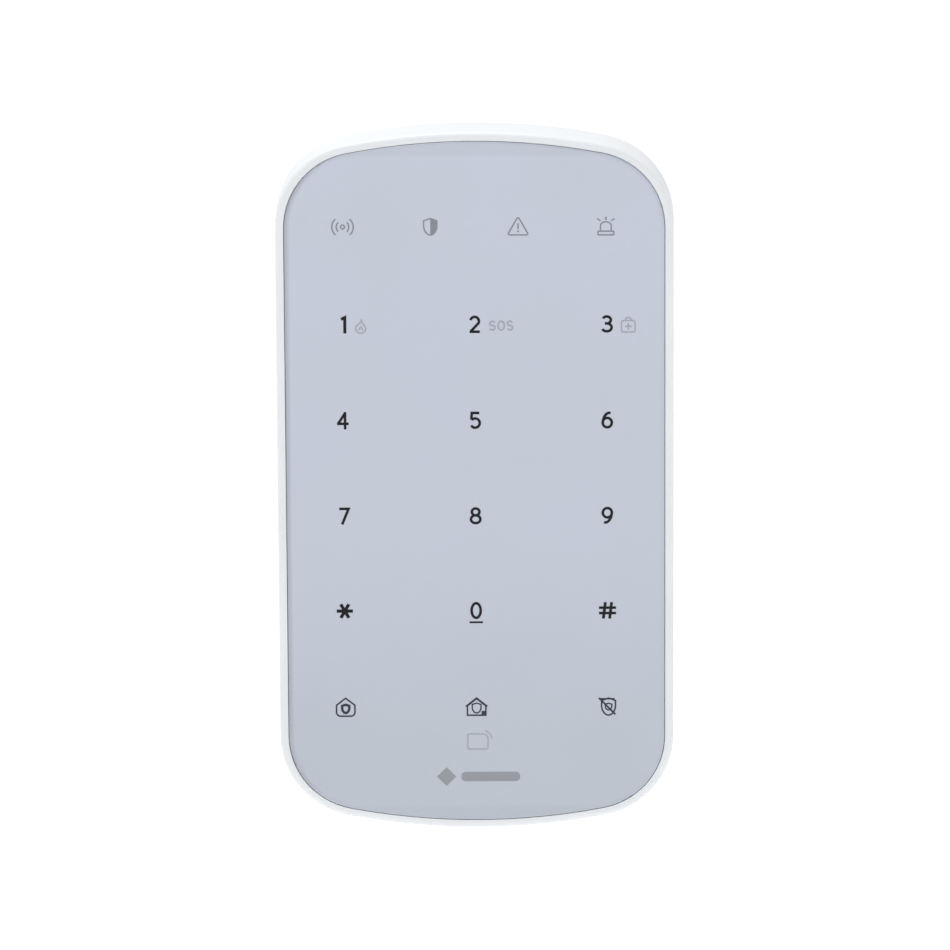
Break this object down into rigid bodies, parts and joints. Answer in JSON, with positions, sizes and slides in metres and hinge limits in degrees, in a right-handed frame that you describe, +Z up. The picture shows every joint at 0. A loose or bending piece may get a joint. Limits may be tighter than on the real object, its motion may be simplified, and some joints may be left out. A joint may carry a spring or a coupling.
{
  "type": "alarm keypad panel",
  "caption": "Slim wall-mounted alarm keypad: a printed glass touch panel in a white case with arched ends, battery bay behind a hinged door, on a hook-on wall bracket.",
  "frame": {"origin": "centre of the four wall-screw holes, on the wall plane at the back of the bracket", "axes": "+Z up along the keypad; +X to the right of someone facing the keys; +Y into the wall, so the glass faces -Y"},
  "size_m": [0.086, 0.024, 0.154],
  "materials": {
    "printed_glass": "gloss, back-printed",
    "adhesive": "matt foam tape",
    "printed_film": "satin",
    "diffuser": "translucent",
    "mask_white": "matt",
    "led_lens": "clear dome",
    "case_white": "fine satin texture",
    "board_green": "solder mask",
    "chip_black": "moulded",
    "tinned_steel": "satin",
    "copper": "drawn wire",
    "sounder_black": "matt",
    "plunger_grey": "satin",
    "spring_steel": "drawn wire",
    "knob_black": "satin",
    "cell_jacket": "printed sleeve, no lettering",
    "label_paper": "blank",
    "screw_zinc": "zinc",
    "bracket_white": "fine satin texture"
  },
  "bodies": {
    "bracket": {"wall_bracket": "bracket_white"},
    "case": {"glass_panel": "printed_glass", "glass_adhesive": "adhesive", "graphic_film": "printed_film", "light_guide": "diffuser", "light_mask": "mask_white", "key_leds": "led_lens", "status_leds": "led_lens", "front_frame": "case_white", "main_board": "board_green", "controller_chip": "chip_black", "card_reader_chip": "chip_black", "radio_board": "board_green", "radio_shield": "tinned_steel", "radio_antenna": "copper", "card_coil": "copper", "sounder": "sounder_black", "tamper_contact": "copper", "tamper_spring": "spring_steel", "power_switch_body": "tinned_steel", "rear_cover": "case_white", "battery_cells": "cell_jacket", "battery_plates": "tinned_steel", "battery_springs": "spring_steel", "case_screws": "screw_zinc", "board_screws": "screw_zinc"},
    "battery_door": {"battery_door": "case_white", "rating_label": "label_paper"},
    "tamper_plunger": {"tamper_plunger": "plunger_grey"},
    "power_knob": {"power_switch_knob": "knob_black"}
  },
  "joints": [
    {"name": "case_lift", "type": "slide", "parent": "bracket", "child": "case", "axis": [0, 0, 1], "range_m": [0, 0.005]},
    {"name": "battery_door_hinge", "type": "hinge", "parent": "case", "child": "battery_door", "pos_m": [0, -0.0026, 0.028], "axis": [1, 0, 0], "range_deg": [0, 90]},
    {"name": "tamper_plunger_slide", "type": "slide", "parent": "case", "child": "tamper_plunger", "axis": [0, 1, 0], "range_m": [0, 0.0018], "stiffness_N_per_m": 250, "springref_m": 0.0035, "deforming": ["tamper_spring"]},
    {"name": "power_knob_slide", "type": "slide", "parent": "case", "child": "power_knob", "axis": [1, 0, 0], "range_m": [0, 0.002]}
  ]
}
